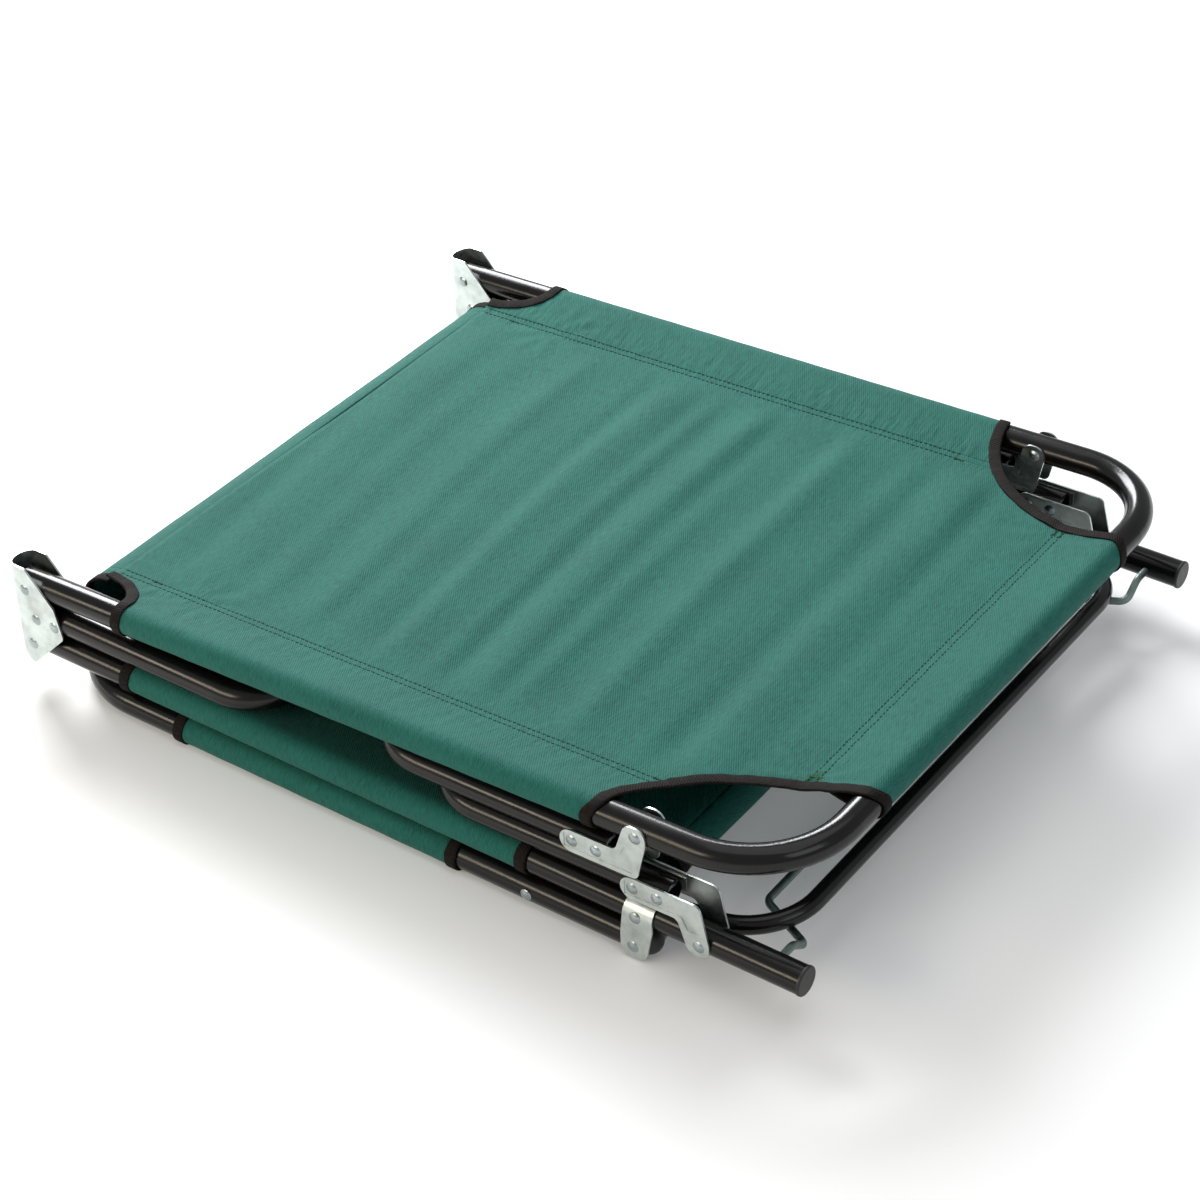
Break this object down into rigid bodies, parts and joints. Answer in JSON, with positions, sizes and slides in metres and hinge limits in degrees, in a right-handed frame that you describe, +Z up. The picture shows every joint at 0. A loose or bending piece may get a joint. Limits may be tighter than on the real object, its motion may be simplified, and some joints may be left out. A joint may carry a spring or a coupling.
{
  "type": "folding cot",
  "caption": "Folding camp cot folded flat: fabric panels on bent steel tube frames, joined by riveted brackets, with swing-out U legs, a head stay and a wire brace.",
  "frame": {"origin": "on the ground under the middle of the folded stack", "axes": "+X from the fold bracket end to the rail caps, +Y across the cot, +Z up through the stack"},
  "size_m": [0.7232, 0.585, 0.1284],
  "materials": {
    "frame_paint": "gloss black enamel",
    "zinc_plate": "bright zinc plated sheet",
    "rivet_steel": "bright zinc plated",
    "cap_plastic": "satin black moulding",
    "cloth": "woven oxford cloth"
  },
  "bodies": {
    "section_b": {"mid_rail_near": "frame_paint", "mid_rail_far": "frame_paint", "mid_rail_end_caps": "cap_plastic", "hinge_strap_near": "zinc_plate", "hinge_strap_far": "zinc_plate", "hinge_strap_rivets": "rivet_steel", "wire_brace": "zinc_plate", "fabric_b": "cloth", "fabric_turn": "cloth"},
    "hinge_leg": {"fold_leg_tube": "frame_paint", "fold_bracket_near": "zinc_plate", "fold_bracket_far": "zinc_plate", "fold_leg_rivets": "rivet_steel", "fold_pivots_b": "rivet_steel", "fold_pivots_a": "rivet_steel", "fabric_fold": "cloth"},
    "section_a": {"frame_a": "frame_paint", "fabric_a": "cloth"},
    "leg_a": {"leg_a_tube": "frame_paint", "leg_a_plates_near": "zinc_plate", "leg_a_plates_far": "zinc_plate", "leg_a_rivets": "rivet_steel", "leg_a_pivots": "rivet_steel"},
    "leg_b": {"leg_b_tube": "frame_paint", "leg_b_plates_near": "zinc_plate", "leg_b_plates_far": "zinc_plate", "leg_b_rivets": "rivet_steel", "leg_b_pivots": "rivet_steel"},
    "section_c": {"frame_c": "frame_paint", "frame_c_end_caps": "cap_plastic", "frame_c_pivots": "rivet_steel", "fabric_c": "cloth"},
    "stay": {"stay_tube": "frame_paint", "stay_pivots": "rivet_steel", "stay_spacers": "rivet_steel"}
  },
  "joints": [
    {"name": "fold_hinge", "type": "hinge", "parent": "section_b", "child": "hinge_leg", "pos_m": [-0.34287, 0, 0.0393], "axis": [0, -1, 0], "range_deg": [0, 90]},
    {"name": "section_a_hinge", "type": "hinge", "parent": "hinge_leg", "child": "section_a", "pos_m": [-0.34287, 0, 0.0908], "axis": [0, -1, 0], "range_deg": [0, 87.85]},
    {"name": "leg_a_hinge", "type": "hinge", "parent": "section_a", "child": "leg_a", "pos_m": [0.23072, 0, 0.11233], "axis": [0, -1, 0], "range_deg": [0, 108]},
    {"name": "leg_b_hinge", "type": "hinge", "parent": "section_b", "child": "leg_b", "pos_m": [0.28213, 0, 0.0393], "axis": [0, 1, 0], "range_deg": [0, 108]},
    {"name": "section_c_hinge", "type": "hinge", "parent": "section_b", "child": "section_c", "pos_m": [0.22712, 0, 0.0118], "axis": [0, -1, 0], "range_deg": [0, 180]},
    {"name": "stay_hinge", "type": "hinge", "parent": "section_c", "child": "stay", "pos_m": [0.13312, 0, 0.0118], "axis": [0, 1, 0], "range_deg": [0, 90.36]}
  ],
  "couplings": [
    {"joint": "section_a_hinge", "follows": "fold_hinge", "ratio": 0.97611},
    {"joint": "leg_a_hinge", "follows": "fold_hinge", "ratio": 1.2},
    {"joint": "leg_b_hinge", "follows": "fold_hinge", "ratio": 1.2},
    {"joint": "section_c_hinge", "follows": "fold_hinge", "ratio": 2},
    {"joint": "stay_hinge", "follows": "fold_hinge", "ratio": 1.004}
  ]
}
